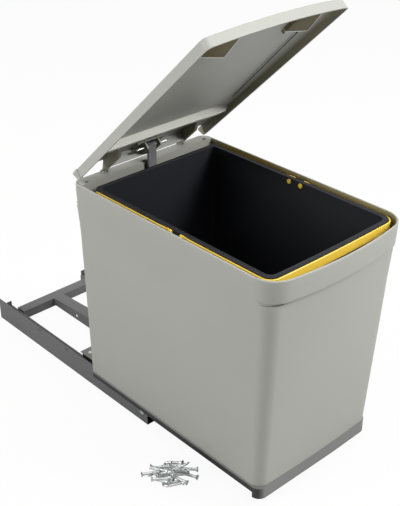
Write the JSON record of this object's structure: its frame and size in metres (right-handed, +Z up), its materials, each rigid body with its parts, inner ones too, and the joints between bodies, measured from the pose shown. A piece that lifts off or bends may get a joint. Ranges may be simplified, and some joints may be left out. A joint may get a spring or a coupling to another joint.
{
  "type": "built-in cabinet waste bin",
  "caption": "Pull-out waste bin on a cabinet-floor frame with roller runners, a grey tapered shell, a black bucket with yellow handles and a lid that a rod opens as the bin rolls out.",
  "frame": {"origin": "cabinet floor level, centre of the four floor fixing holes of the fixed frame", "axes": "+Z up; -Y is the way the bin pulls out, towards the room; +X to the right seen from the room"},
  "size_m": [0.3412, 0.7135, 0.6667],
  "materials": {
    "frame_grey": "satin dark grey powder coat",
    "carriage_grey": "satin mid grey powder coat",
    "shell_grey": "fine grained grey plastic",
    "lid_grey": "fine grained grey plastic",
    "bucket_black": "satin black plastic",
    "handle_yellow": "satin yellow plastic",
    "roller_black": "satin black plastic",
    "zinc": "zinc plated steel"
  },
  "bodies": {
    "frame": {"left_runner": "frame_grey", "right_runner": "frame_grey", "rear_cross_bar": "frame_grey", "front_cross_bar": "frame_grey", "centre_ramp": "frame_grey", "front_roller_axles": "zinc", "fixing_screws": "zinc"},
    "carriage": {"left_carriage_rail": "carriage_grey", "right_carriage_rail": "carriage_grey", "carriage_tray": "carriage_grey", "carriage_rear_plate": "carriage_grey", "carriage_rivets": "zinc", "rear_roller_axles": "zinc", "outer_shell": "shell_grey", "rear_ledge": "shell_grey", "ledge_screws": "zinc", "hinge_pins": "zinc", "rod_guides": "roller_black", "bucket": "bucket_black", "handle_pins": "handle_yellow"},
    "left_front_wheel": {"left_front_roller": "roller_black"},
    "right_front_wheel": {"right_front_roller": "roller_black"},
    "left_rear_wheel": {"left_rear_roller": "roller_black"},
    "right_rear_wheel": {"right_rear_roller": "roller_black"},
    "lid": {"lid": "lid_grey", "lifter_bracket": "lid_grey"},
    "lifter": {"lift_rod": "zinc", "rod_cross_pin": "zinc", "foot_axle": "zinc"},
    "lifter_wheel": {"foot_wheel": "roller_black"},
    "front_handle": {"front_handle": "handle_yellow"},
    "rear_handle": {"rear_handle": "handle_yellow"}
  },
  "joints": [
    {"name": "bin_pull", "type": "slide", "parent": "frame", "child": "carriage", "axis": [0, 1, 0], "range_m": [0, 0.24]},
    {"name": "lid_hinge", "type": "hinge", "parent": "carriage", "child": "lid", "pos_m": [0, -0.097, 0.3914], "axis": [1, 0, 0], "range_deg": [0, 43.2]},
    {"name": "lifter_slide", "type": "slide", "parent": "carriage", "child": "lifter", "axis": [0, 0, -1], "range_m": [0, 0.0168]},
    {"name": "lifter_wheel_turn", "type": "hinge", "parent": "lifter", "child": "lifter_wheel", "pos_m": [0, -0.117, 0.04755], "axis": [-1, 0, 0], "range_deg": [0, 1966.4]},
    {"name": "front_handle_lift", "type": "hinge", "parent": "carriage", "child": "front_handle", "pos_m": [0, -0.317, 0.3818], "axis": [-1, 0, 0], "range_deg": [0, 1]},
    {"name": "rear_handle_lift", "type": "hinge", "parent": "carriage", "child": "rear_handle", "pos_m": [0, -0.295, 0.3818], "axis": [1, 0, 0], "range_deg": [0, 4]},
    {"name": "left_front_roll", "type": "hinge", "parent": "frame", "child": "left_front_wheel", "pos_m": [-0.0989, -0.198, 0.0187], "axis": [-1, 0, 0], "range_deg": [0, 1146.9]},
    {"name": "left_rear_roll", "type": "hinge", "parent": "carriage", "child": "left_rear_wheel", "pos_m": [-0.0981, -0.0433, 0.0138], "axis": [-1, 0, 0], "range_deg": [0, 1146.9]},
    {"name": "right_front_roll", "type": "hinge", "parent": "frame", "child": "right_front_wheel", "pos_m": [0.0989, -0.198, 0.0187], "axis": [-1, 0, 0], "range_deg": [0, 1146.9]},
    {"name": "right_rear_roll", "type": "hinge", "parent": "carriage", "child": "right_rear_wheel", "pos_m": [0.0981, -0.0433, 0.0138], "axis": [-1, 0, 0], "range_deg": [0, 1146.9]}
  ],
  "couplings": [
    {"joint": "lid_hinge", "follows": "bin_pull", "rad_per_m": 3.1416},
    {"joint": "lifter_slide", "follows": "bin_pull", "ratio": 0.07},
    {"joint": "lifter_wheel_turn", "follows": "bin_pull", "rad_per_m": 142.86},
    {"joint": "left_front_roll", "follows": "bin_pull", "rad_per_m": 83.333},
    {"joint": "right_front_roll", "follows": "bin_pull", "rad_per_m": 83.333},
    {"joint": "left_rear_roll", "follows": "bin_pull", "rad_per_m": 83.333},
    {"joint": "right_rear_roll", "follows": "bin_pull", "rad_per_m": 83.333}
  ]
}
